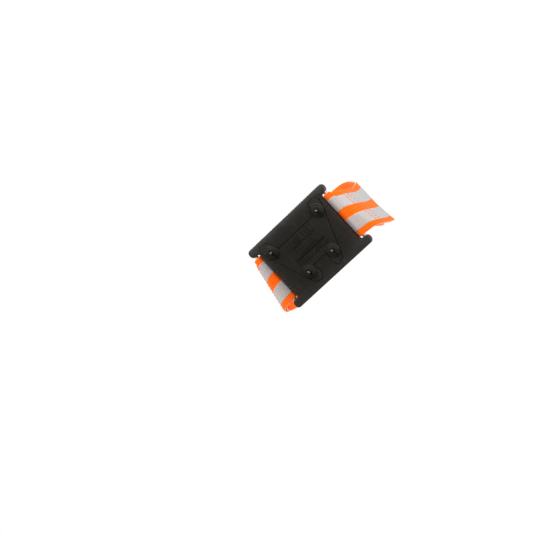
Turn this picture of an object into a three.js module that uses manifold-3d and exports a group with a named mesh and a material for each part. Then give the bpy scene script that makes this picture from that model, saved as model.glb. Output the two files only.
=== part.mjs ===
// Mid-sole ice cleat: a studded rubber plate that sits under the arch of a boot, and a loop of
// elastic reflective webbing that goes round the boot and is sewn to the plate's steel wire frame.
//
// Millimetres, +Z up. The cleat stands as it is worn: stud tips on the ground at z = 0, the plate's
// sole face up, the loop above it. +Y points to the boot's toe and X runs across the boot.

import * as THREE from "three";
import { mergeVertices } from "three/addons/utils/BufferGeometryUtils.js";
import Module from "manifold-3d";

const wasm = await Module();
wasm.setup();

// ---------------------------------------------------------------- driving dimensions

const plate = {
  length: 74.6, // across the boot, horn end to horn end
  width: 53.5, // along the boot
  groundZ: 4, // height of the ground face when the stud tips stand on the ground
  thickness: 5.6,
  notchEdge: 31.2, // x of the edge that the strap passes, behind the bar
  notchHalfWidth: 20.3,
  hornRadius: 2.9,
  notchRadius: 1.2,
  chamfer: 1,
};
const soleZ = plate.groundZ + plate.thickness;

const frame = { barX: 34.7, barY: 23.5, z: 7, radius: 1.4, bend: 3.2 }; // bent steel wire ring
const frameClearance = 0.3;

const grooves = { count: 6, pitch: 6.4, width: 1.6, depth: 0.7, length: 50 }; // in the sole face

const carrier = { faceZ: 3.8, backZ: 5.3, gap: 0.4 }; // hard panel that holds the studs
const boss = { radius: 4.9, faceZ: 3, ringRadius: 3.3, ringZ: 2.3, wellRadius: 1.9, draft: 0.4 };
const bossCentres = {
  heel_left: [-22.7, -14.8],
  heel_right: [22.7, -14.8],
  toe_left: [-11.6, 12.8],
  toe_right: [11.6, 12.8],
};
const stud = {
  flangeRadius: 3.8,
  flangeZ: [5.4, 6.4],
  stemRadius: 1.6,
  stemZ: 2.55,
  stemChamfer: 0.25,
  pocketClearance: 0.3,
  tipRadius: 1,
  tipFlatRadius: 0.5,
  tipTaper: 0.6,
  tipRootZ: 4.6,
  tipClearance: 0.05,
};

const webbing = { halfWidth: 19, thickness: 1.3 };
const tape = { inner: 3.9, outer: 14.5, lift: 0.05, thickness: 0.25 }; // either side of the middle
const eyeRadius = frame.radius + 0.15 + webbing.thickness / 2; // to the middle of the webbing
const eyeAngles = [112, 305]; // where the fold-back meets the eye, and where the outer layer leaves
const eyeTurn = 23; // degrees between the eye's points
const layerSpacing = 1.75; // between the middles of the two sewn layers
const foldStart = 9; // along the outer layer, where the folded layer begins to lie against it
const foldEnd = 20; // how far up the outer layer the folded end reaches
const turnIn = [
  [39.4, 1, 10.6], // where the folded layer leaves the outer one
  [36.8, 0.3, 9.9], // and where it comes in over the bar
];
const stitchRows = [11, 16]; // along the outer layer, from the eye
const thread = { width: 0.6, height: 0.3, length: 35, clearance: 0.05 };
const shoulderZ = 77; // where the side of the loop meets its top, straight above the bar
const hingeHalfGap = 0.5;
const stripStep = 4; // length of a facet of the webbing, and of a shorter one where it bends most
const bendStep = 2;
const bendEnd = 12; // along the outer layer, where the shorter facets end
const bendCount = 46; // how many there are, from the folded end

// How the webbing's width is turned. The boot widens towards the toe, so the sides flare, growing
// with the distance from the bar; they lean towards the toe, square to their own run; and the top
// slopes with the instep.
const flare = { most: 0.2, fromReach: 2.7, fullReach: 7, fallOver: 34 };
const lean = { fromZ: 10, fullZ: 24, fallOver: 12 };
const tiltMost = 0.42;

// ---------------------------------------------------------------- solids

function solidOf(geometry) {
  const bare = geometry.index ? geometry.toNonIndexed() : geometry.clone();
  bare.deleteAttribute("normal");
  bare.deleteAttribute("uv");
  const merged = mergeVertices(bare, 1e-4);
  return new wasm.Manifold(
    new wasm.Mesh({
      numProp: 3,
      vertProperties: merged.attributes.position.array,
      triVerts: new Uint32Array(merged.index.array),
    }),
  );
}

function geometryOf(solid) {
  const mesh = solid.getMesh();
  const geometry = new THREE.BufferGeometry();
  const points = new THREE.BufferAttribute(mesh.vertProperties, 3);
  geometry.setAttribute("position", points);
  geometry.setIndex(new THREE.BufferAttribute(mesh.triVerts, 1));
  geometry.computeVertexNormals();
  return geometry;
}

const joined = (solids) => solids.reduce((all, next) => all.add(next));

// A disc or shaft standing along Z between two heights.
function post(x, y, radius, fromZ, toZ, sides = 32, endRadius = radius) {
  const geometry = new THREE.CylinderGeometry(endRadius, radius, toZ - fromZ, sides);
  geometry.rotateX(Math.PI / 2);
  geometry.translate(x, y, (fromZ + toZ) / 2);
  return solidOf(geometry);
}

function slab(shape, fromZ, toZ, chamfer = 0, curveSegments = 6) {
  const geometry = new THREE.ExtrudeGeometry(shape, {
    depth: toZ - fromZ - 2 * chamfer,
    bevelEnabled: chamfer > 0,
    bevelThickness: chamfer,
    bevelSize: chamfer,
    bevelOffset: -chamfer,
    bevelSegments: 2,
    curveSegments,
  });
  geometry.translate(0, 0, fromZ + chamfer);
  return solidOf(geometry);
}

function block(width, length, height, x, y, z) {
  const geometry = new THREE.BoxGeometry(width, length, height);
  geometry.translate(x, y, z);
  return solidOf(geometry);
}

// A closed outline whose corners are arcs: corners is a list of [x, y, radius].
function roundedShape(corners) {
  const shape = new THREE.Shape();
  corners.forEach(([x, y, radius], i) => {
    const corner = new THREE.Vector2(x, y);
    const before = corners.at(i - 1);
    const after = corners[(i + 1) % corners.length];
    const back = new THREE.Vector2(before[0], before[1]).sub(corner).normalize();
    const on = new THREE.Vector2(after[0], after[1]).sub(corner).normalize();
    const half = Math.acos(THREE.MathUtils.clamp(back.dot(on), -1, 1)) / 2;
    const reach = radius / Math.tan(half);
    const middle = back.clone().add(on).normalize();
    const centre = corner.clone().addScaledVector(middle, radius / Math.sin(half));
    const start = corner.clone().addScaledVector(back, reach).sub(centre);
    const end = corner.clone().addScaledVector(on, reach).sub(centre);
    const clockwise = back.cross(on) > 0;
    shape.absarc(centre.x, centre.y, radius, start.angle(), end.angle(), clockwise);
  });
  return shape;
}

// A convex outline moved outwards by grow; its corners are in order, either way round.
function grownShape(points, grow) {
  const ring = points.map(([x, y]) => new THREE.Vector2(x, y));
  const turn = THREE.ShapeUtils.area(ring) > 0 ? 1 : -1;
  const outward = (a, b) => {
    const along = b.clone().sub(a).normalize();
    return new THREE.Vector2(along.y, -along.x).multiplyScalar(turn);
  };
  const moved = ring.map((point, i) => {
    const first = outward(ring.at(i - 1), point);
    const second = outward(point, ring[(i + 1) % ring.length]);
    const middle = first.clone().add(second).normalize();
    return point.clone().addScaledVector(middle, grow / middle.dot(first));
  });
  return new THREE.Shape(moved);
}

const mirrored = (points) => points.map(([x, y]) => [-x, y]);

// ---------------------------------------------------------------- plate

// The bent wire ring: two bars that the strap's eyes go round, and two runs inside the rubber.
function wireRing(radius) {
  const straightX = frame.barX - frame.bend;
  const straightY = frame.barY - frame.bend;
  const sides = 16;
  const parts = [];
  for (const side of [-1, 1]) {
    const bar = new THREE.CylinderGeometry(radius, radius, 2 * straightY, sides);
    bar.translate(side * frame.barX, 0, frame.z);
    const run = new THREE.CylinderGeometry(radius, radius, 2 * straightX, sides);
    run.rotateZ(Math.PI / 2);
    run.translate(0, side * frame.barY, frame.z);
    parts.push(solidOf(bar), solidOf(run));
    for (const end of [-1, 1]) {
      const bend = new THREE.TorusGeometry(frame.bend, radius, sides, 24);
      bend.translate(side * straightX, end * straightY, frame.z);
      const reach = frame.bend + radius + 1;
      const x = side * (straightX + reach / 2);
      const y = end * (straightY + reach / 2);
      parts.push(solidOf(bend).intersect(block(reach, reach, 4 * radius, x, y, frame.z)));
    }
  }
  return joined(parts);
}

function plateOutline() {
  const x = plate.length / 2;
  const y = plate.width / 2;
  const { notchEdge, notchHalfWidth, hornRadius, notchRadius } = plate;
  return roundedShape([
    [x, -y, hornRadius],
    [x, -notchHalfWidth, hornRadius],
    [notchEdge, -notchHalfWidth, notchRadius],
    [notchEdge, notchHalfWidth, notchRadius],
    [x, notchHalfWidth, hornRadius],
    [x, y, hornRadius],
    [-x, y, hornRadius],
    [-x, notchHalfWidth, hornRadius],
    [-notchEdge, notchHalfWidth, notchRadius],
    [-notchEdge, -notchHalfWidth, notchRadius],
    [-x, -notchHalfWidth, hornRadius],
    [-x, -y, hornRadius],
  ]);
}

// The carrier's outline: a trapezoid, a round boss for each stud, and a pointed tab beside each
// boss, grown all round by grow.
const trapezoid = [
  [-27.4, -13.65],
  [27.4, -13.65],
  [16.8, 12.8],
  [-16.8, 12.8],
];
const heelTab = [
  [29.2, -19.6],
  [26.8, -23.1],
  [21, -22.3],
  [19.2, -17.2],
  [27.4, -15.2],
];
const toeTab = [
  [14.8, 16.6],
  [13.7, 20.7],
  [7.9, 22.3],
  [4.9, 17.6],
  [6.8, 13.4],
  [11.6, 12.8],
];
const bridge = { halfWidth: 6.9, fromY: 10.8 }; // the gap in the trapezoid between the toe bosses

function carrierSolid(grow, fromZ, toZ) {
  const { halfWidth, fromY } = bridge;
  const depth = 10;
  const gap = block(2 * (halfWidth - grow), depth, 20, 0, fromY + grow + depth / 2, fromZ);
  const tabs = [heelTab, mirrored(heelTab), toeTab, mirrored(toeTab)];
  return joined([
    slab(grownShape(trapezoid, grow), fromZ, toZ).subtract(gap),
    ...tabs.map((tab) => slab(grownShape(tab, grow), fromZ, toZ)),
    ...Object.values(bossCentres).map(([x, y]) => post(x, y, boss.radius + grow, fromZ, toZ)),
  ]);
}

function basePlate() {
  let body = slab(plateOutline(), plate.groundZ, soleZ, plate.chamfer);
  body = body.subtract(carrierSolid(carrier.gap, plate.groundZ - 1, carrier.backZ + 0.1));
  body = body.subtract(wireRing(frame.radius + frameClearance));
  for (const [x, y] of Object.values(bossCentres)) {
    const radius = stud.flangeRadius + stud.pocketClearance;
    body = body.subtract(post(x, y, radius, plate.groundZ, stud.flangeZ[1] + 0.1));
  }
  for (let i = 0; i < grooves.count; i++) {
    const y = (i - (grooves.count - 1) / 2) * grooves.pitch;
    const groove = block(grooves.length, grooves.width, 2 * grooves.depth, 0, y, soleZ);
    body = body.subtract(groove);
  }
  return body;
}

// Raised grip ribs on the carrier's face: two rows of bars, a long rib and a row of ticks.
const ribs = { height: 0.45, sunk: 0.2 };
const ribRows = [
  { count: 8, pitch: 2.85, width: 1.7, length: 5, y: -9.2 },
  { count: 6, pitch: 2.85, width: 1.7, length: 5, y: -2.9 },
  { count: 13, pitch: 2.15, width: 1, length: 2.8, y: 4.3 },
];
const longRib = { length: 28, width: 0.5, y: 1.25 };

function gripRibs() {
  const z = carrier.faceZ + (ribs.sunk - ribs.height) / 2;
  const height = ribs.height + ribs.sunk;
  const made = [block(longRib.length, longRib.width, height, 0, longRib.y, z)];
  for (const { count, pitch, width, length, y } of ribRows) {
    for (let i = 0; i < count; i++) {
      const x = (i - (count - 1) / 2) * pitch;
      made.push(block(width, length, height, x, y, z));
    }
  }
  return made;
}

function studCarrier() {
  let body = carrierSolid(0, carrier.faceZ, carrier.backZ);
  body = joined([body, ...gripRibs()]);
  for (const [x, y] of Object.values(bossCentres)) {
    const { radius, faceZ, ringRadius, ringZ, draft } = boss;
    body = body.add(post(x, y, radius - draft, faceZ, carrier.faceZ, 40, radius));
    body = body.add(post(x, y, radius, carrier.faceZ - 0.01, carrier.backZ, 40));
    body = body.add(post(x, y, ringRadius - draft, ringZ, faceZ + 0.1, 40, ringRadius));
    body = body.subtract(post(x, y, boss.wellRadius, 0, carrier.backZ + 1));
  }
  return body;
}

// A stud: a wide flange behind the carrier, and a stem that ends inside the boss's well.
function studBody([x, y]) {
  const { flangeRadius, flangeZ, stemRadius, stemZ, stemChamfer, tipClearance } = stud;
  const shankZ = stemZ + stemChamfer;
  const flange = post(x, y, flangeRadius, flangeZ[0], flangeZ[1]);
  const nose = post(x, y, stemRadius - stemChamfer, stemZ, shankZ, 24, stemRadius);
  const shank = post(x, y, stemRadius, shankZ, flangeZ[1], 24);
  const socket = post(x, y, stud.tipRadius + tipClearance, 0, stud.tipRootZ + 2 * tipClearance, 24);
  return joined([flange, shank, nose]).subtract(socket);
}

function studTip([x, y]) {
  const { tipRadius, tipFlatRadius, tipTaper, tipRootZ } = stud;
  const nose = post(x, y, tipFlatRadius, 0, tipTaper, 24, tipRadius);
  return nose.add(post(x, y, tipRadius, tipTaper, tipRootZ, 24));
}

// ---------------------------------------------------------------- strap

// The outer layer of the webbing on the +X side, from the eye up to the middle of the top.
const eyeExit = THREE.MathUtils.degToRad(eyeAngles[1]);
const sideRoute = new THREE.CatmullRomCurve3(
  [
    [frame.barX + eyeRadius * Math.cos(eyeExit), 0, frame.z + eyeRadius * Math.sin(eyeExit)],
    [39.9, 0.9, 7],
    [43.5, 2.9, 9.9],
    [44.8, 4.3, 15],
    [44.7, 5.3, 21],
    [44.1, 6.7, 31],
    [43, 7.5, 42],
    [41.2, 7.7, 53],
    [38.6, 7, 64.5],
    [frame.barX, 5.2, shoulderZ],
    [29, 2.4, 89.5],
    [21.5, -0.6, 101],
    [11.5, -3.2, 110],
    [0, -4.4, 113.6],
    [-11.5, -3.2, 110],
  ].map((place) => new THREE.Vector3(...place)),
  false,
  "centripetal",
);
sideRoute.arcLengthDivisions = 800;

// How far along the route it first passes a test.
function lengthWhere(test) {
  const total = sideRoute.getLength();
  for (let s = 0; s < total; s += 0.05) {
    if (test(sideRoute.getPointAt(s / total))) return s;
  }
  return total;
}
const shoulderAt = lengthWhere((p) => p.z > shoulderZ);
const crownAt = lengthWhere((p) => p.x <= 0);

function outerPoints(from, to, step) {
  const total = sideRoute.getLength();
  const count = Math.max(1, Math.round((to - from) / step));
  return Array.from({ length: count + 1 }, (_, i) => {
    const at = (from + ((to - from) * i) / count) / total;
    return { point: sideRoute.getPointAt(at), tangent: sideRoute.getTangentAt(at) };
  });
}

// Which way the webbing's width runs at a point of the loop.
function widthDirection(point, tangent) {
  if (point.z >= shoulderZ) {
    const share = Math.cos((Math.PI / 2) * Math.min(1, Math.abs(point.x) / frame.barX)) ** 2;
    return new THREE.Vector3(0, 1, -tiltMost * share).normalize();
  }
  const { smoothstep } = THREE.MathUtils;
  const reach = Math.hypot(point.x - frame.barX, point.z - frame.z);
  const below = shoulderZ - point.z;
  const flared = smoothstep(reach, flare.fromReach, flare.fullReach) * smoothstep(below, 0, flare.fallOver);
  const leant = smoothstep(point.z, lean.fromZ, lean.fullZ) * smoothstep(below, 0, lean.fallOver);
  const width = new THREE.Vector3(flare.most * flared, 1, 0);
  return width.addScaledVector(tangent, -width.dot(tangent) * leant).normalize();
}

const outDirection = (width, tangent) => new THREE.Vector3().crossVectors(width, tangent).normalize();

// The whole +X side in the order that the webbing runs: folded end, eye, then up to the shoulder.
function sidePoints() {
  const folded = outerPoints(foldStart, foldEnd, stripStep)
    .reverse()
    .map(({ point, tangent }) => {
      const out = outDirection(widthDirection(point, tangent), tangent);
      return point.clone().addScaledVector(out, -layerSpacing);
    });
  folded.push(...turnIn.map((place) => new THREE.Vector3(...place)));
  const eye = [];
  const [firstAngle, lastAngle] = eyeAngles;
  for (let angle = firstAngle; angle < lastAngle - eyeTurn / 4; angle += eyeTurn) {
    const a = THREE.MathUtils.degToRad(angle);
    const x = frame.barX + eyeRadius * Math.cos(a);
    eye.push(new THREE.Vector3(x, 0, frame.z + eyeRadius * Math.sin(a)));
  }
  const low = outerPoints(0, bendEnd, bendStep).map(({ point }) => point);
  const lowRoute = new THREE.CatmullRomCurve3([...folded, ...eye, ...low], false, "centripetal");
  const made = Array.from({ length: bendCount }, (_, i) => {
    const at = i / bendCount;
    return { point: lowRoute.getPointAt(at), tangent: lowRoute.getTangentAt(at) };
  });
  return [...made, ...outerPoints(bendEnd, shoulderAt - hingeHalfGap, stripStep)];
}

function topPoints() {
  const half = outerPoints(shoulderAt + hingeHalfGap, crownAt, stripStep);
  const other = half
    .slice(0, -1)
    .reverse()
    .map(({ point, tangent }) => ({
      point: new THREE.Vector3(-point.x, point.y, point.z),
      tangent: new THREE.Vector3(tangent.x, -tangent.y, -tangent.z),
    }));
  return [...half, ...other];
}

// A strip of the webbing carried along the points. across lists the places over its width, from
// the heel edge on, and through its two faces. Places grow away from the boot through the webbing.
function stripGeometry(points, across, through) {
  const corners = [];
  const ring = [
    ...across.map((t) => [t, through[0]]),
    ...across.toReversed().map((t) => [t, through[1]]),
  ];
  for (const { point, tangent } of points) {
    const width = widthDirection(point, tangent);
    const out = outDirection(width, tangent);
    for (const [t, n] of ring) {
      const corner = point.clone().addScaledVector(width, t).addScaledVector(out, n);
      corners.push(corner.x, corner.y, corner.z);
    }
  }
  const faces = [];
  const size = ring.length;
  const last = size * (points.length - 1);
  for (let k = 0; k < across.length - 1; k++) {
    const [low, high] = [size - 1 - k, size - 2 - k];
    faces.push(k, k + 1, high, k, high, low);
    faces.push(last + k, last + high, last + k + 1, last + k, last + low, last + high);
  }
  for (let i = 0; i < last; i += size) {
    for (let k = 0; k < size; k++) {
      const [a, b] = [i + k, i + ((k + 1) % size)];
      // Both faces are cut along the same diagonal, so that a tape lies evenly on the webbing.
      if (k < across.length) faces.push(a, b + size, b, a, a + size, b + size);
      else faces.push(a, a + size, b, b, a + size, b + size);
    }
  }
  const geometry = new THREE.BufferGeometry();
  geometry.setAttribute("position", new THREE.Float32BufferAttribute(corners, 3));
  geometry.setIndex(faces);
  geometry.computeVertexNormals();
  return geometry;
}

// A stitch row: a thread laid straight across the webbing, over both tapes.
function stitchGeometry(along) {
  const [{ point, tangent }] = outerPoints(along, along + 1, 1);
  const width = widthDirection(point, tangent);
  const out = outDirection(width, tangent);
  const lift = webbing.thickness / 2 + tape.lift + tape.thickness + thread.clearance;
  const geometry = new THREE.BoxGeometry(thread.length, thread.width, thread.height);
  const centre = point.clone().addScaledVector(out, lift + thread.height / 2);
  return geometry.applyMatrix4(new THREE.Matrix4().makeBasis(width, tangent, out).setPosition(centre));
}

// ---------------------------------------------------------------- materials

const finish = (color, roughness, metalness) =>
  new THREE.MeshStandardMaterial({ color, roughness, metalness, flatShading: true });
const materials = {
  rubber: finish(0x23221f, 0.75, 0),
  carrier: finish(0x262521, 0.6, 0),
  stud: finish(0x33322f, 0.5, 0.6),
  carbide: finish(0xb9b6ae, 0.3, 1),
  wire: finish(0xd2d0ca, 0.25, 1),
  webbing: finish(0xf2610a, 0.85, 0),
  tape: finish(0xb4b0b0, 0.5, 0),
  thread: finish(0xe0501a, 0.8, 0),
};

// ---------------------------------------------------------------- assembly

const cleat = new THREE.Group();

function addMesh(parent, name, geometry, material) {
  const mesh = new THREE.Mesh(geometry, material);
  mesh.name = name;
  parent.add(mesh);
}

addMesh(cleat, "base_plate", geometryOf(basePlate()), materials.rubber);
addMesh(cleat, "stud_carrier", geometryOf(studCarrier()), materials.carrier);
addMesh(cleat, "wire_frame", geometryOf(wireRing(frame.radius)), materials.wire);
for (const [place, centre] of Object.entries(bossCentres)) {
  addMesh(cleat, `stud_body_${place}`, geometryOf(studBody(centre)), materials.stud);
  addMesh(cleat, `stud_tip_${place}`, geometryOf(studTip(centre)), materials.carbide);
}

const webbingFaces = [-webbing.thickness / 2, webbing.thickness / 2];
const tapeFaces = [tape.lift, tape.lift + tape.thickness].map((n) => webbingFaces[1] + n);
const tapes = { heel: [-tape.outer, -tape.inner], toe: [tape.inner, tape.outer] };
const fullWidth = [-webbing.halfWidth, ...tapes.heel, ...tapes.toe, webbing.halfWidth];

// The -X side is the +X side seen in a mirror, so a negative scale in X carries it there.
for (const [name, side] of [
  ["right", 1],
  ["left", -1],
]) {
  const half = new THREE.Group();
  half.scale.x = side;
  const points = sidePoints();
  const strip = stripGeometry(points, fullWidth, webbingFaces);
  addMesh(half, `strap_${name}`, strip, materials.webbing);
  for (const [edge, across] of Object.entries(tapes)) {
    const band = stripGeometry(points, across, tapeFaces);
    addMesh(half, `reflective_tape_${edge}_${name}`, band, materials.tape);
  }
  stitchRows.forEach((along, i) => {
    const row = ["lower", "upper"][i];
    addMesh(half, `stitch_row_${row}_${name}`, stitchGeometry(along), materials.thread);
  });
  cleat.add(half);
}

const crown = topPoints();
const crownStrip = stripGeometry(crown, fullWidth, webbingFaces);
addMesh(cleat, "strap_top", crownStrip, materials.webbing);
for (const [edge, across] of Object.entries(tapes)) {
  const band = stripGeometry(crown, across, tapeFaces);
  addMesh(cleat, `reflective_tape_${edge}_top`, band, materials.tape);
}

export default cleat;
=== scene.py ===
import math

import bmesh
import bpy
import numpy as np
from mathutils import Matrix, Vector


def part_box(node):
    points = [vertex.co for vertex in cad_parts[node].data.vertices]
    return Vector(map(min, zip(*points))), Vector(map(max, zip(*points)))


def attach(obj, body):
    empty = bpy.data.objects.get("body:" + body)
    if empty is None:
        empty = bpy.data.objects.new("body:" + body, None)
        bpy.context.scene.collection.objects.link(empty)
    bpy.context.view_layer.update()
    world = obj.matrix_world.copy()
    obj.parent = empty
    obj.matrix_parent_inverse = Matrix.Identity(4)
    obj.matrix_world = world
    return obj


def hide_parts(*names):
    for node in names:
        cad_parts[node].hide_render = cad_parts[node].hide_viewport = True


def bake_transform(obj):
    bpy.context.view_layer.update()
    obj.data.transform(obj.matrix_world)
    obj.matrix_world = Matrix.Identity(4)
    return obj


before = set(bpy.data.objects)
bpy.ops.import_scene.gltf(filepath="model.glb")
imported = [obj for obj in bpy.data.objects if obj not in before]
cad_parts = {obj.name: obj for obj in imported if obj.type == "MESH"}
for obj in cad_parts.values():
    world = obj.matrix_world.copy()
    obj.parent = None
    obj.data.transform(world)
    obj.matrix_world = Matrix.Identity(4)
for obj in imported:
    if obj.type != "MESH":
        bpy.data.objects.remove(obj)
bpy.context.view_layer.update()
mm = 0.001

# Camera: from below and a little to the right, the plate's ground face towards it

cameraSettings = {
    "place": (0.3666, 0.0243, -1.0450),  # metres
    "right": (0.681, 0.676, 0.281),  # the view's right
    "up": (0.640, -0.737, 0.220),  # the view's up: mostly towards the boot's heel
    "lens": 107.7,  # mm
    "sensor": 36,  # mm wide
    "clip": (0.01, 20),  # metres
}


def makeCamera(settings):
    camera = bpy.data.cameras.new("camera")
    camera.sensor_width = settings["sensor"]
    camera.lens = settings["lens"]
    camera.clip_start, camera.clip_end = settings["clip"]
    thing = bpy.data.objects.new("camera", camera)
    bpy.context.scene.collection.objects.link(thing)
    right = np.array(settings["right"]) / np.linalg.norm(settings["right"])
    up = np.array(settings["up"]) - right * np.dot(settings["up"], right)
    up /= np.linalg.norm(up)
    pose = np.eye(4)
    pose[:3, 0], pose[:3, 1], pose[:3, 2] = right, up, np.cross(right, up)
    pose[:3, 3] = settings["place"]
    thing.matrix_world = Matrix(pose.tolist())
    bpy.context.scene.camera = thing


makeCamera(cameraSettings)
print("camera made")


# Small helpers


def unit(v):
    return v / np.linalg.norm(v, axis=-1, keepdims=True)


# Adds a node, sets its properties, and gives each of its inputs, by name or number, a value or a link.
def fill(tree, kind, inputs=None, **settings):
    node = tree.nodes.new(kind)
    for name, value in settings.items():
        setattr(node, name, value)
    for name, value in (inputs or {}).items():
        if isinstance(value, bpy.types.NodeSocket):
            tree.links.new(value, node.inputs[name])
        else:
            node.inputs[name].default_value = value
    return node


# A math node's result. Each operand is a value or a link.
def maths(tree, operation, first, second=0.0, third=0.0):
    return fill(tree, "ShaderNodeMath", {0: first, 1: second, 2: third}, operation=operation).outputs[0]


# An empty shader group. inputs is {name: (kind, value)} and outputs is {name: kind}.
def newGroup(name, inputs, outputs):
    tree = bpy.data.node_groups.new(name, "ShaderNodeTree")
    for label, (kind, value) in inputs.items():
        socket = tree.interface.new_socket(label, in_out="INPUT", socket_type=kind)
        socket.default_value = value
    for label, kind in outputs.items():
        tree.interface.new_socket(label, in_out="OUTPUT", socket_type=kind)
    return tree, tree.nodes.new("NodeGroupInput"), tree.nodes.new("NodeGroupOutput")


# Puts a group in a material, with its values.
def place(tree, group, **inputs):
    return fill(tree, "ShaderNodeGroup", inputs, node_tree=group)


# A material with its Principled BSDF, whose constant inputs are given by name.
def newMaterial(name, **values):
    material = bpy.data.materials.new(name)
    material.use_nodes = True
    tree = material.node_tree
    shader = tree.nodes["Principled BSDF"]
    for label, value in values.items():
        shader.inputs[label.replace("_", " ")].default_value = value
    return material, tree, shader


# first where factor is 0, second where it is 1. The numbers are the colour sockets of the node.
def mixColour(tree, factor, first, second):
    return fill(tree, "ShaderNodeMix", {0: factor, 6: first, 7: second}, data_type="RGBA").outputs[2]


def bump(tree, shader, height, distance):
    node = fill(tree, "ShaderNodeBump", {"Height": height, "Distance": distance, "Strength": 1.0})
    tree.links.new(node.outputs[0], shader.inputs["Normal"])


# Effects that several materials share. Their sizes are inputs in mm. On Object coordinates a noise's
# scale is one over its size in metres, and on a UV map one over its size in mm.

grainSettings = {"fineDetail": 2.0, "slowDetail": 4.0, "cellShare": 0.5}


# Spark-eroded mould texture: fine noise plus a share of the distance to the nearest cell's middle.
# Height is that sum and Patches is a slow noise.
def makeMouldGrain(settings):
    tree, given, wanted = newGroup(
        "mouldGrain",
        {"Cell": ("NodeSocketFloat", 0.4), "Patch": ("NodeSocketFloat", 12.0)},
        {"Height": "NodeSocketFloat", "Patches": "NodeSocketFloat"},
    )
    where = fill(tree, "ShaderNodeTexCoord").outputs["Object"]
    cellScale = maths(tree, "DIVIDE", 1 / mm, given.outputs["Cell"])
    patchScale = maths(tree, "DIVIDE", 1 / mm, given.outputs["Patch"])
    fineInputs = {"Vector": where, "Scale": cellScale, "Detail": settings["fineDetail"]}
    fine = fill(tree, "ShaderNodeTexNoise", fineInputs)
    cells = fill(tree, "ShaderNodeTexVoronoi", {"Vector": where, "Scale": cellScale})
    slowInputs = {"Vector": where, "Scale": patchScale, "Detail": settings["slowDetail"]}
    slow = fill(tree, "ShaderNodeTexNoise", slowInputs)
    middles = cells.outputs["Distance"]
    height = maths(tree, "MULTIPLY_ADD", middles, settings["cellShare"], fine.outputs[0])
    tree.links.new(height, wanted.inputs["Height"])
    tree.links.new(slow.outputs[0], wanted.inputs["Patches"])
    return tree


scuffSettings = {
    "squeeze": (6, 1, 1),  # closer together in X, so that the streaks run along Y
    "turn": (0, 0, 0.6),  # radians, of the noise itself and not of the streaks
    "detail": 3.0,
    "cut": (0.58, 0.75),  # the noise values where a streak starts and where it is full
}


# Faint rubbed streaks: squeezed noise, of which only the high values are kept. Mask is 0 to Amount.
def makeScuffs(settings):
    tree, given, wanted = newGroup(
        "scuffs",
        {"Length": ("NodeSocketFloat", 9.0), "Amount": ("NodeSocketFloat", 0.5)},
        {"Mask": "NodeSocketFloat"},
    )
    where = fill(tree, "ShaderNodeTexCoord").outputs["Object"]
    turns = {"Vector": where, "Rotation": settings["turn"], "Scale": settings["squeeze"]}
    turned = fill(tree, "ShaderNodeMapping", turns).outputs[0]
    scale = maths(tree, "DIVIDE", 1 / mm, given.outputs["Length"])
    streakInputs = {"Vector": turned, "Scale": scale, "Detail": settings["detail"]}
    streaks = fill(tree, "ShaderNodeTexNoise", streakInputs).outputs[0]
    start, full = settings["cut"]
    cut = fill(tree, "ShaderNodeMapRange", {"Value": streaks, "From Min": start, "From Max": full})
    mask = maths(tree, "MULTIPLY", cut.outputs[0], given.outputs["Amount"])
    tree.links.new(mask, wanted.inputs["Mask"])
    return tree


weaveSettings = {
    "valley": 0.4,  # height between two ends, where a crest is 1
    "fleckScale": 2.2,
    "fleckDetail": 3.0,
}


# Bumps of a weave: the size of a sine along the band, two bumps to a pick, times that of a sine across
# it, one bump to an end. Reads the UV map in units of a millimetre: U across the band, V along it.
# Fleck is a noise about half a millimetre across.
def makeWeave(settings):
    tree, given, wanted = newGroup(
        "weave",
        {"Pick": ("NodeSocketFloat", 0.8), "End": ("NodeSocketFloat", 0.8)},
        {"Height": "NodeSocketFloat", "Fleck": "NodeSocketFloat"},
    )
    where = fill(tree, "ShaderNodeTexCoord").outputs["UV"]
    apart = fill(tree, "ShaderNodeSeparateXYZ", {0: where})
    along = maths(tree, "DIVIDE", apart.outputs[1], given.outputs["Pick"])
    across = maths(tree, "DIVIDE", apart.outputs[0], given.outputs["End"])
    pick = maths(tree, "ABSOLUTE", maths(tree, "SINE", maths(tree, "MULTIPLY", along, 2 * math.pi)))
    ridge = maths(tree, "ABSOLUTE", maths(tree, "SINE", maths(tree, "MULTIPLY", across, math.pi)))
    raised = maths(tree, "MULTIPLY_ADD", ridge, 1 - settings["valley"], settings["valley"])
    height = maths(tree, "MULTIPLY", pick, raised)
    fleckInputs = {"Vector": where, "Scale": settings["fleckScale"], "Detail": settings["fleckDetail"]}
    fleck = fill(tree, "ShaderNodeTexNoise", fleckInputs)
    tree.links.new(height, wanted.inputs["Height"])
    tree.links.new(fleck.outputs[0], wanted.inputs["Fleck"])
    return tree


mouldGrain = makeMouldGrain(grainSettings)
scuffs = makeScuffs(scuffSettings)
weave = makeWeave(weaveSettings)

# Materials. Lengths in their settings are mm.

mouldedSettings = {
    "specular": 0.35,
    "patch": 14.0,
    "scuffLength": 9.0,
    "scuffAmount": 0.35,
    "uneven": (0.5, -0.1),  # share of the rubbed colour: this much of the patches, plus this
    "glossier": 0.14,  # how much smoother a patch is than the gaps between patches
}

mouldedFinishes = {
    "rubber": {
        "colour": (0.014, 0.0133, 0.0108, 1),
        "rubbed": (0.052, 0.049, 0.041, 1),
        "roughness": 0.6,
        "cell": 0.35,
        "depth": 0.035,
    },
    "carrier": {
        "colour": (0.02, 0.019, 0.0155, 1),
        "rubbed": (0.062, 0.059, 0.049, 1),
        "roughness": 0.5,
        "cell": 0.3,
        "depth": 0.025,
    },
    "stud": {
        "colour": (0.024, 0.0235, 0.021, 1),
        "rubbed": (0.09, 0.088, 0.08, 1),
        "roughness": 0.42,
        "cell": 0.2,
        "depth": 0.015,
    },
}


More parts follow.
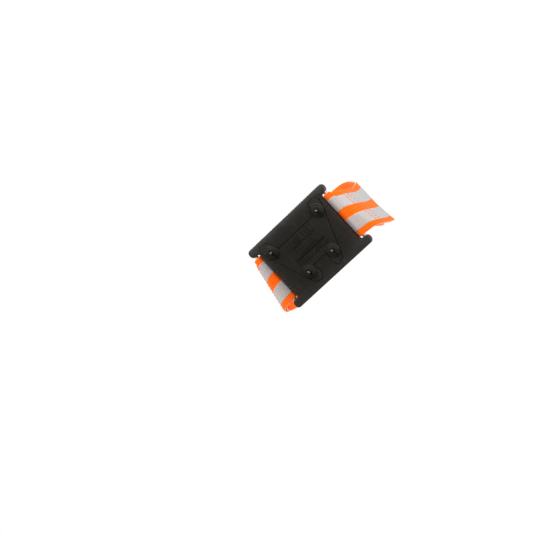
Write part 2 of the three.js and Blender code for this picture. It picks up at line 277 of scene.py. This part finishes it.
# Moulded rubber or plastic: grained, a little uneven in tone, paler where it is rubbed.
def makeMoulded(name, settings, finish):
    material, tree, shader = newMaterial(name, Specular_IOR_Level=settings["specular"])
    grain = place(tree, mouldGrain, Cell=finish["cell"], Patch=settings["patch"])
    marks = place(tree, scuffs, Length=settings["scuffLength"], Amount=settings["scuffAmount"])
    uneven = maths(tree, "MULTIPLY_ADD", grain.outputs["Patches"], *settings["uneven"])
    tone = maths(tree, "ADD", uneven, marks.outputs["Mask"])
    colour = mixColour(tree, tone, finish["colour"], finish["rubbed"])
    tree.links.new(colour, shader.inputs["Base Color"])
    dullest = finish["roughness"] + settings["glossier"] / 2
    rough = maths(tree, "MULTIPLY_ADD", grain.outputs["Patches"], -settings["glossier"], dullest)
    tree.links.new(rough, shader.inputs["Roughness"])
    bump(tree, shader, grain.outputs["Height"], finish["depth"] * mm)
    return material


steelSettings = {
    "patch": 4.0,
    "dulled": 0.6,  # brightness of a dull patch, of the colour's own
    "rougher": (0.25, -0.1),  # roughness: this much of the patches, plus the finish's, plus this
    "depth": 0.01,
}

steelFinishes = {
    "wire": {"colour": (0.72, 0.7, 0.66, 1), "roughness": 0.25, "cell": 0.3},
    "carbide": {"colour": (0.3, 0.29, 0.265, 1), "roughness": 0.48, "cell": 0.2},
}


# Metal with a fine grain and duller, rougher patches.
def makeSteel(name, settings, finish):
    material, tree, shader = newMaterial(name, Metallic=1.0)
    grain = place(tree, mouldGrain, Cell=finish["cell"], Patch=settings["patch"])
    patches = grain.outputs["Patches"]
    dull = tuple(settings["dulled"] * c for c in finish["colour"][:3]) + (1,)
    colour = mixColour(tree, patches, finish["colour"], dull)
    tree.links.new(colour, shader.inputs["Base Color"])
    spread, offset = settings["rougher"]
    rough = maths(tree, "MULTIPLY_ADD", patches, spread, finish["roughness"] + offset)
    tree.links.new(rough, shader.inputs["Roughness"])
    bump(tree, shader, grain.outputs["Height"], settings["depth"] * mm)
    return material


webbingSettings = {
    "halfWidth": 19,
    "halfThickness": 0.62,
    "centreBand": 3.9,  # half the orange band between the tapes
    "tapeEdge": 14.5,  # outer edge of each tape
    "ribPitch": 1.56,
    "ribHeight": 0.13,
    "backRibs": 0.6,  # height of the ribs on the boot side, of the others
    "steps": {"edge": 18, "tape": 14, "centre": 36, "selvedge": 6},  # points of the section
    "selvedge": 0.35,
    "orange": (1.0, 0.17, 0.003, 1),
    # the next colour is painted shade, used in the hollows between the ribs and between the picks
    "grooveShadeOrange": (0.9, 0.09, 0.001, 1),
    "selvedgeColour": (0.95, 0.62, 0.5, 1),
    "selvedgeFade": 0.25,
    "selvedgeMost": 0.6,  # share of its colour
    "pick": 0.9,
    "end": 0.52,
    "knitShare": 0.35,  # of the shade, the ribs have the rest
    "fleckShare": 0.5,
    "deeper": 0.15,
    "depth": 0.03,
}


# Orange elastic: a deeper orange between its ribs and between its picks, which is painted shade in those
# hollows, a paler selvedge, fine picks across.
def makeWebbingMaterial(settings):
    material, tree, shader = newMaterial(
        "webbing", Roughness=0.85, Specular_IOR_Level=0.1, Sheen_Weight=0.05, Sheen_Roughness=0.5
    )
    where = fill(tree, "ShaderNodeTexCoord").outputs["UV"]
    across = fill(tree, "ShaderNodeSeparateXYZ", {0: where}).outputs[0]
    knit = place(tree, weave, Pick=settings["pick"], End=settings["end"])
    # Painted shade: the colour is darker in the hollows of the ribs and the weave and lighter on their
    # crests; the fleck is random tone
    phase = maths(tree, "MULTIPLY", across, 2 * math.pi / settings["ribPitch"])
    crest = maths(tree, "MULTIPLY_ADD", maths(tree, "COSINE", phase), 0.5, 0.5)
    ribs = maths(tree, "MULTIPLY", crest, 1 - settings["knitShare"])
    shade = maths(tree, "MULTIPLY_ADD", knit.outputs["Height"], settings["knitShare"], ribs)
    shade = maths(tree, "SUBTRACT", shade, settings["deeper"])
    shadeAndFleck = maths(tree, "MULTIPLY_ADD", knit.outputs["Fleck"], settings["fleckShare"], shade)
    colour = mixColour(tree, shadeAndFleck, settings["grooveShadeOrange"], settings["orange"])
    fromMiddle = maths(tree, "ABSOLUTE", across)
    edge = settings["halfWidth"] - settings["selvedge"]
    fade = {"From Min": edge, "From Max": edge + settings["selvedgeFade"]}
    rim = fill(
        tree, "ShaderNodeMapRange", {"Value": fromMiddle, **fade, "To Max": settings["selvedgeMost"]}
    ).outputs[0]
    edged = mixColour(tree, rim, colour, settings["selvedgeColour"])
    tree.links.new(edged, shader.inputs["Base Color"])
    bump(tree, shader, knit.outputs["Height"], settings["depth"] * mm)
    return material


tapeSettings = {
    "base": 0.6,  # above the webbing's middle
    "thickness": 0.24,
    "steps": 22,  # points across its face
    "softEdge": 0.6,  # radius of its edges, of its thickness
    "colour": (0.46, 0.455, 0.448, 1),
    # the next colour is painted shade, used in the hollows between beads and in the creases
    "hollowShadeColour": (0.37, 0.363, 0.356, 1),
    "pick": 0.55,
    "end": 0.5,
    "creaseSqueeze": (0.1, 1, 1),  # a crease is ten times as long across the tape as along it
    "creaseScale": 0.8,
    "creaseDetail": 3.0,
    "beadShare": 0.5,  # of the tone
    "deeper": 0.25,
    "creaseHeight": 2.0,
    "beadHeight": 0.2,
    "depth": 0.07,
}


# Silver reflective cloth: a fine mesh of beads over soft creases. Its colour is darker in the hollows of
# the beads and creases, a painted shade.
def makeTapeMaterial(settings):
    material, tree, shader = newMaterial("tape", Roughness=0.55, Metallic=0.12)
    where = fill(tree, "ShaderNodeTexCoord").outputs["UV"]
    beads = place(tree, weave, Pick=settings["pick"], End=settings["end"]).outputs["Height"]
    squeeze = {"Vector": where, "Scale": settings["creaseSqueeze"]}
    squeezed = fill(tree, "ShaderNodeMapping", squeeze).outputs[0]
    creaseInputs = {"Scale": settings["creaseScale"], "Detail": settings["creaseDetail"]}
    creases = fill(tree, "ShaderNodeTexNoise", {"Vector": squeezed, **creaseInputs}).outputs[0]
    # Painted shade: the tone follows the heights of the beads and creases, darker in their hollows
    tone = maths(tree, "MULTIPLY_ADD", beads, settings["beadShare"], creases)
    tone = maths(tree, "SUBTRACT", tone, settings["deeper"])
    colour = mixColour(tree, tone, settings["hollowShadeColour"], settings["colour"])
    tree.links.new(colour, shader.inputs["Base Color"])
    fineBeads = maths(tree, "MULTIPLY", beads, settings["beadHeight"])
    height = maths(tree, "MULTIPLY_ADD", creases, settings["creaseHeight"], fineBeads)
    bump(tree, shader, height, settings["depth"] * mm)
    return material


threadSettings = {
    "colour": (1.0, 0.17, 0.01, 1),
    # the next colour is painted shade, used in the grooves between the plies
    "twistShadeColour": (0.75, 0.07, 0.005, 1),
    "pliesPerMm": 2.5,
    "depth": 0.05,
    "sides": 7,
    "reference": (0.31, 0.2, 0.93),  # no thread runs along it
}


# Twisted sewing thread: lines of painted shade that climb round it in the grooves between plies, read
# from its own UV map.
def makeThreadMaterial(settings):
    material, tree, shader = newMaterial("thread", Roughness=0.7, Sheen_Weight=0.3)
    where = fill(tree, "ShaderNodeTexCoord").outputs["UV"]
    apart = fill(tree, "ShaderNodeSeparateXYZ", {0: where})
    climb = maths(tree, "MULTIPLY_ADD", apart.outputs[1], settings["pliesPerMm"], apart.outputs[0])
    turn = maths(tree, "SINE", maths(tree, "MULTIPLY", climb, 2 * math.pi))
    ply = maths(tree, "MULTIPLY_ADD", turn, 0.5, 0.5)
    # Painted shade: the colour is darker where the ply bump is low
    colour = mixColour(tree, ply, settings["twistShadeColour"], settings["colour"])
    tree.links.new(colour, shader.inputs["Base Color"])
    bump(tree, shader, ply, settings["depth"] * mm)
    return material


fraySettings = {
    "colour": (1.0, 0.17, 0.01, 1),
    "paleColour": (0.95, 0.55, 0.42, 1),
    "orangeShare": 0.6,
    "fuzzScale": 9.0,
    "depth": 0.02,
    "count": 70,
    "halfWidth": 18.6,
    "halfThickness": 0.45,
    "rooted": 0.3,  # how far inside the cut end a thread starts
    "length": (0.5, 2.1),
    "radius": 0.085,
    "tipShare": 0.5,  # radius at the tip, of the radius at the root
    "steps": 6,
    "spread": 0.5,
    "outwards": (0.6, -0.1),  # sway square to the webbing: this much of the spread, plus this
    "seed": 4,
}


# Loose ends, each one orange or pale: U is the thread's number plus the turn round it.
def makeFrayMaterial(settings):
    material, tree, shader = newMaterial("fray", Roughness=0.8, Sheen_Weight=0.3)
    where = fill(tree, "ShaderNodeTexCoord").outputs["UV"]
    number = maths(tree, "FLOOR", fill(tree, "ShaderNodeSeparateXYZ", {0: where}).outputs[0])
    pick = fill(tree, "ShaderNodeTexWhiteNoise", {"W": number}, noise_dimensions="1D").outputs["Value"]
    pale = maths(tree, "GREATER_THAN", pick, settings["orangeShare"])
    colour = mixColour(tree, pale, settings["colour"], settings["paleColour"])
    tree.links.new(colour, shader.inputs["Base Color"])
    fuzz = fill(tree, "ShaderNodeTexNoise", {"Vector": where, "Scale": settings["fuzzScale"]})
    bump(tree, shader, fuzz.outputs[0], settings["depth"] * mm)
    return material


materials = {
    "webbing": makeWebbingMaterial(webbingSettings),
    "tape": makeTapeMaterial(tapeSettings),
    "thread": makeThreadMaterial(threadSettings),
    "fray": makeFrayMaterial(fraySettings),
}
for name, finish in mouldedFinishes.items():
    materials[name] = makeMoulded(name, mouldedSettings, finish)
for name, finish in steelFinishes.items():
    materials[name] = makeSteel(name, steelSettings, finish)
print("materials made")

# Plate pieces: the CAD solids, with their edges rounded

edgeSettings = {
    "mergeWithin": 1e-6,  # metres
    "flatWithin": math.radians(0.6),  # faces closer in slope than this are joined
    "sharpFrom": math.radians(32),  # edges sharper than this are rounded
    "radius": {"rubber": 0.3, "carrier": 0.22, "stud": 0.12, "carbide": 0.15, "wire": 0.02},  # mm
    "segments": {"rubber": 2, "carrier": 2, "stud": 2, "carbide": 2, "wire": 1},
}


# A merged copy of a CAD node, flat faces joined and sharp edges rounded, that stands for it. slot is
# the name of its material too.
def softenEdges(node, slot, settings):
    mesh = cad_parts[node].data.copy()
    work = bmesh.new()
    work.from_mesh(mesh)
    bmesh.ops.remove_doubles(work, verts=work.verts, dist=settings["mergeWithin"])
    flat = settings["flatWithin"]
    bmesh.ops.dissolve_limit(work, angle_limit=flat, verts=work.verts, edges=work.edges)
    work.to_mesh(mesh)
    work.free()
    mesh.shade_smooth()
    mesh.set_sharp_from_angle(angle=settings["sharpFrom"])
    mesh.materials.clear()
    mesh.materials.append(materials[slot])
    piece = bpy.data.objects.new(node + "_moulded", mesh)
    bpy.context.scene.collection.objects.link(piece)
    bevel = piece.modifiers.new("edges", "BEVEL")
    bevel.width = settings["radius"][slot] * mm
    bevel.segments = settings["segments"][slot]
    bevel.limit_method = "ANGLE"
    bevel.angle_limit = settings["sharpFrom"]
    bevel.harden_normals = True
    bevel.use_clamp_overlap = True
    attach(piece, "plate")
    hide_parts(node)


softenEdges("base_plate", "rubber", edgeSettings)
softenEdges("stud_carrier", "carrier", edgeSettings)
for corner in ("heel_left", "heel_right", "toe_left", "toe_right"):
    softenEdges("stud_body_" + corner, "stud", edgeSettings)
    softenEdges("stud_tip_" + corner, "carbide", edgeSettings)
softenEdges("wire_frame", "wire", edgeSettings)
print("plate pieces made")

# The strap's route, in mm, on the +X side

low, high = (np.array(corner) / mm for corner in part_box("wire_frame"))
wireRadius = (high[2] - low[2]) / 2
barX = high[0] - wireRadius
barZ = (high[2] + low[2]) / 2

routeSettings = {
    "shoulderY": 5.2,
    "shoulderZ": 77,
    # Points: across the boot, towards the toe, up. The last of crown is past the middle.
    "side": [
        (39.9, 0.9, 7), (43.5, 2.9, 9.9), (44.8, 4.3, 15), (44.7, 5.3, 21),
        (44.1, 6.7, 31), (43, 7.5, 42), (41.2, 7.7, 53), (38.6, 7, 64.5),
    ],
    "crown": [
        (29, 2.4, 89.5), (21.5, -0.6, 101), (11.5, -3.2, 110), (0, -4.4, 113.6), (-11.5, -3.2, 110),
    ],
    "eyeRadius": 2.2,  # to the middle of the webbing
    "eyeAngles": (112, 305),  # degrees, where the fold-back comes in and the outer layer leaves
    "eyeTurn": 23,  # degrees between two points round the bar
    "eyeGap": 5,  # least degrees between the last two
    "turnIn": [(39.4, 1, 10.6), (36.8, 0.3, 9.9)],  # where the folded layer reaches for the bar
    "layerSpacing": 1.75,
    "foldStart": 9,  # how far up the outer layer the folded one starts to lie along it
    "foldEnd": 20,  # and how far up the folded end reaches
    "foldEvery": 18,  # fine steps between two points of the folded layer
    "overlap": (50, 10),  # fine steps that the low part and the outer layer share, and steps to a point
    # The boot widens towards the toe, and higher up the width is square to its own run.
    "flare": {"most": 0.2, "fromReach": 2.7, "fullReach": 7, "fallOver": 34},
    "lean": {"fromZ": 10, "fullZ": 24, "fallOver": 12},
    "tiltMost": 0.42,  # the top slopes down towards the toe
    "middleSlack": 0.001,  # so that the point in the middle counts
    "spanSteps": 80,
    "fineStep": 0.2,
    "step": 0.8,
    "closeRows": (20, 45, 90),  # extra rows round the bar: from and to along the strap, and how many
}


# The distance along a line of points to each of them.
def distances(points):
    return np.concatenate([[0], np.cumsum(np.linalg.norm(np.diff(points, axis=0), axis=1))])


def readAt(points, far, places):
    return np.stack([np.interp(places, far, points[:, k]) for k in range(3)], axis=1)


# Centripetal Catmull-Rom: in each span, the cubic through its ends whose end slopes come from the
# neighbouring points, each span weighted by the square root of its length. The result is read off
# again at equal distances. Returns points and unit tangents.
def smoothRoute(points, settings):
    points = np.array(points, float)
    points = np.vstack([2 * points[0] - points[1], points, 2 * points[-1] - points[-2]])
    before, start, end, after = points[:-3], points[1:-2], points[2:-1], points[3:]
    spans = ((before, start), (start, end), (end, after))
    gap = [np.sqrt(np.linalg.norm(b - a, axis=1))[:, None] for a, b in spans]
    leave = (start - before) / gap[0] - (end - before) / (gap[0] + gap[1]) + (end - start) / gap[1]
    arrive = (end - start) / gap[1] - (after - start) / (gap[1] + gap[2]) + (after - end) / gap[2]
    leave, arrive = leave * gap[1], arrive * gap[1]
    t = np.linspace(0, 1, settings["spanSteps"], endpoint=False)[None, :, None]
    start, end, leave, arrive = (v[:, None, :] for v in (start, end, leave, arrive))
    cubic = start + leave * t + (3 * (end - start) - 2 * leave - arrive) * t**2
    cubic = cubic + (2 * (start - end) + leave + arrive) * t**3
    dense = np.vstack([cubic.reshape(-1, 3), points[-2]])
    far = distances(dense)
    count = int(round(far[-1] / settings["fineStep"])) + 1
    route = readAt(dense, far, np.linspace(0, far[-1], count))
    return route, unit(np.gradient(route, axis=0))


# 0 below 0, 1 above 1, and the cubic 3x^2 - 2x^3 between them.
def ease(x):
    x = np.clip(x, 0, 1)
    return x * x * (3 - 2 * x)


# Which way the webbing's width runs. On the side it is +Y flared outwards, less its part along the
# run. The flare eases in with the distance from the bar, the part along the run with the height, and
# both ease out below the shoulder. Over the top it is +Y sloping down by a cosine squared of the
# distance from the middle.
def widthDirections(route, ahead, settings):
    flare, lean = settings["flare"], settings["lean"]
    x, z = route[:, 0:1], route[:, 2:3]
    below = settings["shoulderZ"] - z
    reach = np.hypot(x - barX, z - barZ)
    flared = ease((reach - flare["fromReach"]) / (flare["fullReach"] - flare["fromReach"]))
    flared = flare["most"] * flared * ease(below / flare["fallOver"])
    leant = ease((z - lean["fromZ"]) / (lean["fullZ"] - lean["fromZ"])) * ease(below / lean["fallOver"])
    side = np.array([[0.0, 1.0, 0.0]]) + flared * (1, 0, 0)
    side = side - leant * np.sum(side * ahead, axis=1, keepdims=True) * ahead
    crown = np.cos(np.pi / 2 * np.clip(np.abs(x) / barX, 0, 1)) ** 2
    over = np.array([[0.0, 1.0, 0.0]]) - settings["tiltMost"] * crown * (0, 0, 1)
    return unit(np.where(below <= 0, over, side))


# The middle of the webbing round the bar, from where the folded layer comes in.
def eyePoints(settings):
    first, last = settings["eyeAngles"]
    angles = np.radians([*np.arange(first, last - settings["eyeGap"], settings["eyeTurn"]), last])
    ring = np.stack([np.cos(angles), 0 * angles, np.sin(angles)], axis=1)
    return ring * settings["eyeRadius"] + (barX, 0, barZ)


# The outer layer, from the eye over the shoulder to the middle of the top, in fine steps.
def outerLayer(start, settings):
    shoulder = (barX, settings["shoulderY"], settings["shoulderZ"])
    points = [start, *settings["side"], shoulder, *settings["crown"]]
    outer, ahead = smoothRoute(points, settings)
    shown = outer[:, 0] >= -settings["middleSlack"]
    return outer[shown], ahead[shown]


# Folded end, down the boot side, round the bar, and up the outside to the middle of the top. The
# folded layer is the outer one moved towards the boot by the layer spacing. Returns the points, their
# tangents, the distance to each, and the distance at which the outer layer starts.
def makeRoute(settings):
    eye = eyePoints(settings)
    outer, outerAhead = outerLayer(eye[-1], settings)
    fine = settings["fineStep"]
    foldEnd, foldStart = round(settings["foldEnd"] / fine), round(settings["foldStart"] / fine)
    picks = np.arange(foldEnd, foldStart - 1, -settings["foldEvery"])
    outwards = unit(np.cross(widthDirections(outer, outerAhead, settings), outerAhead))
    folded = outer[picks] - outwards[picks] * settings["layerSpacing"]
    shared, every = settings["overlap"]
    lowPoints = [*folded, *settings["turnIn"], *eye[:-1], *outer[: shared + 1 : every]]
    lowPart, _ = smoothRoute(lowPoints, settings)
    whole = np.vstack([lowPart, outer[shared + 1 :]])
    far = distances(whole)
    even = np.linspace(0, far[-1], int(round(far[-1] / settings["step"])) + 1)
    even = np.union1d(even, np.linspace(*settings["closeRows"]))
    route = readAt(whole, far, even)
    route[-1, 0] = 0
    ahead = unit(np.gradient(route, even, axis=0))
    ahead[-1] = (-1, 0, 0)
    return route, ahead, even, far[len(lowPart) - 1] - shared * fine


centre, aheadAxis, along, outerStart = makeRoute(routeSettings)
widthAxis = widthDirections(centre, aheadAxis, routeSettings)
outAxis = unit(np.cross(widthAxis, aheadAxis))
print("route made:", len(centre), "rows,", round(float(along[-1]), 1), "mm to the middle of the top")


# Surfaces carried along the strap. Lengths in their settings are mm.

stitchSettings = {
    "rows": {"lower": 11, "upper": 16},  # mm from the eye
    "halfLength": 17.5,
    "pitch": 2.7,
    "radius": 0.17,
    "rise": 0.2,
    "sunk": 0.1,  # how far the middle of its wave lies under the face
    "flatness": 0.5,  # power that flattens the wave's tops
    "steps": 150,
    "pull": 0.16,  # how deep a stitch pulls the webbing in
    "pullReach": 0.9,  # how far from the row
    "pullLeast": 0.35,  # share of the pull under the top of a dash
}


# A mesh from points in mm, mirrored to the left side where side is -1, which turns every face round.
# uv has one row for each point, and edges sharper than sharp degrees stay sharp.
def newPiece(name, points, faces, uv, side, material, sharp):
    mesh = bpy.data.meshes.new(name)
    faces = [face[::side] for face in faces]
    mesh.from_pydata(points.reshape(-1, 3) * (side, 1, 1) * mm, [], faces)
    corners = np.empty(len(mesh.loops), int)
    mesh.loops.foreach_get("vertex_index", corners)
    mesh.uv_layers.new(name="UVMap").data.foreach_set("uv", uv.reshape(-1, 2)[corners].ravel())
    mesh.shade_smooth()
    mesh.set_sharp_from_angle(angle=math.radians(sharp))
    mesh.materials.append(material)
    piece = bpy.data.objects.new(name, mesh)
    bpy.context.scene.collection.objects.link(piece)
    return piece


# Quads between neighbouring rings of size points, and one face over each end.
def ringFaces(rings, size, start=0):
    row = start + np.arange(rings - 1)[:, None] * size
    a = row + np.arange(size)
    b = row + (np.arange(size) + 1) % size
    quads = np.stack([a, b, b + size, a + size], axis=-1).reshape(-1, 4).tolist()
    lastRing = start + (rings - 1) * size
    return [*quads, list(range(start + size - 1, start - 1, -1)), list(range(lastRing, lastRing + size))]


# How far the stitches pull a face in at t across the webbing: over the outer layer, at each row of
# stitches, a Gaussian along the run times a cosine of the stitch pitch across.
def pulledIn(t, n, settings):
    far = along[:, None] - outerStart
    across = 0.5 - 0.5 * np.cos(2 * np.pi * t / settings["pitch"])
    least = settings["pullLeast"]
    total = 0
    for distance in settings["rows"].values():
        total = total + np.exp(-(((far - distance) / settings["pullReach"]) ** 2))
    inside = np.abs(t) < settings["halfLength"]
    return settings["pull"] * total * (least + (1 - least) * across) * inside * (n > 0)


# A closed band. section is a closed loop of (t, n) in mm, t over the webbing's width and n away from
# the boot. A vertex is the route's point + t x width + n x out.
def sweptBand(name, section, side, material):
    t, n = section[None, :, 0], section[None, :, 1]
    n = n - pulledIn(t, n, stitchSettings)
    points = centre[:, None] + t[..., None] * widthAxis[:, None] + n[..., None] * outAxis[:, None]
    uv = np.stack(np.broadcast_arrays(t, along[:, None]), axis=-1)
    faces = ringFaces(len(centre), len(section))
    return newPiece(name, points, faces, uv, side, material, sharp=50)


# The webbing's cross-section: two faces with cosine ribs, closed by round selvedges. The front has
# no ribs where a tape lies.
def webbingSection(settings):
    w, h = settings["halfWidth"], settings["halfThickness"]
    inner, outer = settings["centreBand"], settings["tapeEdge"]
    steps = settings["steps"]
    t = np.concatenate(
        [
            np.linspace(-w + h, -outer, steps["edge"], endpoint=False),
            np.linspace(-outer, -inner, steps["tape"], endpoint=False),
            np.linspace(-inner, inner, steps["centre"], endpoint=False),
            np.linspace(inner, outer, steps["tape"], endpoint=False),
            np.linspace(outer, w - h, steps["edge"]),
        ]
    )
    rib = settings["ribHeight"] * (0.5 + 0.5 * np.cos(2 * np.pi * t / settings["ribPitch"]))
    slack = 0.01  # so that the tape's own edges count as under it
    underTape = (np.abs(t) > inner - slack) & (np.abs(t) < outer + slack)
    front = np.stack([t, h + np.where(underTape, 0, rib)], axis=1)
    back = np.stack([t[::-1], -h - settings["backRibs"] * rib[::-1]], axis=1)
    turn = np.linspace(np.pi / 2, -np.pi / 2, steps["selvedge"] + 2)[1:-1]
    toeEdge = np.stack([w - h + h * np.cos(turn), h * np.sin(turn)], axis=1)
    return np.vstack([front, toeEdge, back, -toeEdge])


# A thin band with rounded edges, lying on the webbing.
def tapeSection(inner, outer, settings):
    base, top = settings["base"], settings["base"] + settings["thickness"]
    soft = settings["thickness"] * settings["softEdge"]
    corner = soft * 0.3  # how far the middle of the rounding lies from the corner
    t = np.linspace(inner + soft, outer - soft, settings["steps"])
    upper = np.stack([t, np.full(len(t), top)], axis=1)
    toeEdge = np.array([(outer - corner, top - corner), (outer, top - soft), (outer, base)])
    return np.vstack([upper, toeEdge, [(inner + outer - x, n) for x, n in toeEdge[::-1]]])


# Bakes the piece's placement into its mesh.
def crossShoulder(piece):
    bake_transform(piece)


sides = {"right": 1, "left": -1}
tapes = {
    "heel": (-webbingSettings["tapeEdge"], -webbingSettings["centreBand"]),
    "toe": (webbingSettings["centreBand"], webbingSettings["tapeEdge"]),
}
for label, side in sides.items():
    band = sweptBand("webbing_" + label, webbingSection(webbingSettings), side, materials["webbing"])
    crossShoulder(band)
    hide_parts("strap_" + label, "strap_top")
    for edge, (inner, outer) in tapes.items():
        shape = tapeSection(inner, outer, tapeSettings)
        tape = sweptBand("tape_" + edge + "_" + label, shape, side, materials["tape"])
        crossShoulder(tape)
        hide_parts("reflective_tape_" + edge + "_" + label, "reflective_tape_" + edge + "_top")
print("strap made")

# Threads: the stitches, and the frayed cut end


# Round threads. spines is threads x points x 3 in mm; a ring is the point + radius x (cos turn x one
# normal + sin turn x the other), and the radius narrows to the tip where it is an array.
def threads(name, spines, radius, side, material):
    count, steps, _ = spines.shape
    ahead = unit(np.gradient(spines, axis=1))
    first = unit(np.cross(ahead, threadSettings["reference"]))
    second = np.cross(ahead, first)
    size = threadSettings["sides"]
    turn = np.linspace(0, 2 * np.pi, size, endpoint=False)
    ring = np.cos(turn)[:, None] * first[:, :, None] + np.sin(turn)[:, None] * second[:, :, None]
    points = spines[:, :, None] + ring * np.broadcast_to(radius, (count, steps))[:, :, None, None]
    far = np.cumsum(np.linalg.norm(np.gradient(spines, axis=1), axis=2), axis=1)
    around = turn / (2 * np.pi) + np.arange(count)[:, None, None]
    uv = np.stack(np.broadcast_arrays(around, far[:, :, None]), axis=-1)
    faces = [face for k in range(count) for face in ringFaces(steps, size, k * steps * size)]
    piece = newPiece(name, points, faces, uv, side, material, sharp=60)
    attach(piece, "strap_right" if side > 0 else "strap_left")
    return piece


# One thread laid across the webbing: its height over the face is a flattened cosine of the distance
# across, so that it shows as a dash and dips between two dashes.
def stitchSpine(distance, face, settings):
    row = np.searchsorted(along, outerStart + distance)
    t = np.linspace(-settings["halfLength"], settings["halfLength"], settings["steps"])[:, None]
    over = np.cos(2 * np.pi * t / settings["pitch"])
    over = np.sign(over) * np.abs(over) ** settings["flatness"]
    n = face + np.sign(face) * (over * settings["rise"] - settings["sunk"])
    return (centre[row] + t * widthAxis[row] + n * outAxis[row])[None]


# Loose threads at the cut end of the folded layer: each leaves the end along the run and bends away
# by a random sideways vector times the square of the distance.
def fraySpines(settings):
    rng = np.random.default_rng(settings["seed"])
    count = settings["count"]
    t = rng.uniform(-settings["halfWidth"], settings["halfWidth"], (count, 1))
    n = rng.uniform(-settings["halfThickness"], settings["halfThickness"], (count, 1))
    root = centre[0] + t * widthAxis[0] + n * outAxis[0] + settings["rooted"] * aheadAxis[0]
    length = rng.uniform(*settings["length"], (count, 1, 1))
    far = np.linspace(0, 1, settings["steps"])[None, :, None]
    sway = rng.normal(0, settings["spread"], (count, 2))
    share, offset = settings["outwards"]
    bend = sway[:, :1] * widthAxis[0] + (share * sway[:, 1:] + offset) * outAxis[0]
    return root[:, None] + length * (-far * aheadAxis[0] + far**2 * bend[:, None])


tapeTop = tapeSettings["base"] + tapeSettings["thickness"]
insideFace = -routeSettings["layerSpacing"] - tapeTop
for label, side in sides.items():
    for rowName, distance in stitchSettings["rows"].items():
        name = "stitches_" + rowName + "_" + label
        spine = stitchSpine(distance, tapeTop, stitchSettings)
        shown = threads(name, spine, stitchSettings["radius"], side, materials["thread"])
        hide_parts("stitch_row_" + rowName + "_" + label)
        spine = stitchSpine(distance, insideFace, stitchSettings)
        threads(name + "_inside", spine, stitchSettings["radius"], side, materials["thread"])
    taper = fraySettings["radius"] * np.linspace(1, fraySettings["tipShare"], fraySettings["steps"])
    threads("frayed_end_" + label, fraySpines(fraySettings), taper, side, materials["fray"])
print("threads made")

# Floor, lights and surroundings

floorSettings = {"size": 8, "colour": (0.86, 0.86, 0.85, 1), "solidTo": 0.25, "clearFrom": 1.4}  # metres


# A pale floor under the stud tips. It lets light from below through, is clear when it is seen from
# below, and melts into the white surroundings as the distance from the object grows.
def makeFloor(settings):
    half = settings["size"] / 2
    corners = [(-half, -half, 0), (half, -half, 0), (half, half, 0), (-half, half, 0)]
    mesh = bpy.data.meshes.new("floor")
    mesh.from_pydata(corners, [], [(0, 1, 2, 3)])
    floor = bpy.data.objects.new("floor", mesh)
    bpy.context.scene.collection.objects.link(floor)
    material, tree, shader = newMaterial("floor", Roughness=0.7)
    shader.inputs["Base Color"].default_value = settings["colour"]
    clear = fill(tree, "ShaderNodeBsdfTransparent").outputs[0]
    below = fill(tree, "ShaderNodeNewGeometry").outputs["Backfacing"]
    shadow = fill(tree, "ShaderNodeLightPath").outputs["Is Shadow Ray"]
    where = fill(tree, "ShaderNodeTexCoord").outputs["Object"]
    far = fill(tree, "ShaderNodeVectorMath", {0: where}, operation="LENGTH").outputs["Value"]
    fade = fill(
        tree,
        "ShaderNodeMapRange",
        {"Value": far, "From Min": settings["solidTo"], "From Max": settings["clearFrom"]},
        interpolation_type="SMOOTHSTEP",
    ).outputs[0]
    unseen = maths(tree, "MAXIMUM", maths(tree, "MAXIMUM", below, shadow), fade)
    mix = fill(tree, "ShaderNodeMixShader", {0: unseen, 1: shader.outputs[0], 2: clear})
    tree.links.new(mix.outputs[0], tree.nodes["Material Output"].inputs["Surface"])
    mesh.materials.append(material)


lightSettings = {  # metres and watts
    "keyBelow": {"place": (-0.1, -1.1, -0.55), "aim": (0, 0, 0.01), "size": 0.5, "power": 13},
    "fillBelow": {"place": (1.0, 0.1, -0.35), "aim": (0, 0, 0.02), "size": 0.8, "power": 6},
    "keyAbove": {"place": (-0.7, -0.8, 1.2), "aim": (0, 0, 0.05), "size": 0.8, "power": 16},
    "fillAbove": {"place": (1.0, 0.6, 0.8), "aim": (0, 0, 0.05), "size": 1.0, "power": 7},
}


# A round lamp that shines from its place towards its aim.
def makeLight(name, settings):
    light = bpy.data.lights.new(name, "AREA")
    light.shape = "DISK"
    light.size = settings["size"]
    light.energy = settings["power"]
    lamp = bpy.data.objects.new(name, light)
    bpy.context.scene.collection.objects.link(lamp)
    back = unit(np.array(settings["place"], float) - np.array(settings["aim"]))
    reference = (0.03, 1.0, 0.02)  # no lamp shines along it
    across = unit(np.cross(reference, back))
    pose = np.eye(4)
    pose[:3, 0], pose[:3, 1], pose[:3, 2] = across, np.cross(back, across), back
    pose[:3, 3] = settings["place"]
    lamp.matrix_world = Matrix(pose.tolist())


worldSettings = {"background": 1.0, "surroundings": 0.72}


# Plain white behind the object, and a softer light from all round.
def makeWorld(settings):
    world = bpy.data.worlds.new("studio")
    bpy.context.scene.world = world
    world.use_nodes = True
    tree = world.node_tree
    tree.nodes.clear()
    seen = fill(tree, "ShaderNodeLightPath").outputs["Is Camera Ray"]
    brighter = settings["background"] - settings["surroundings"]
    strength = maths(tree, "MULTIPLY_ADD", seen, brighter, settings["surroundings"])
    shade = fill(tree, "ShaderNodeBackground", {"Color": (1, 1, 1, 1), "Strength": strength})
    output = tree.nodes.new("ShaderNodeOutputWorld")
    tree.links.new(shade.outputs[0], output.inputs["Surface"])


makeFloor(floorSettings)
for name, settings in lightSettings.items():
    makeLight(name, settings)
makeWorld(worldSettings)
bpy.context.scene.view_settings.view_transform = "Standard"
print("floor and lights made")
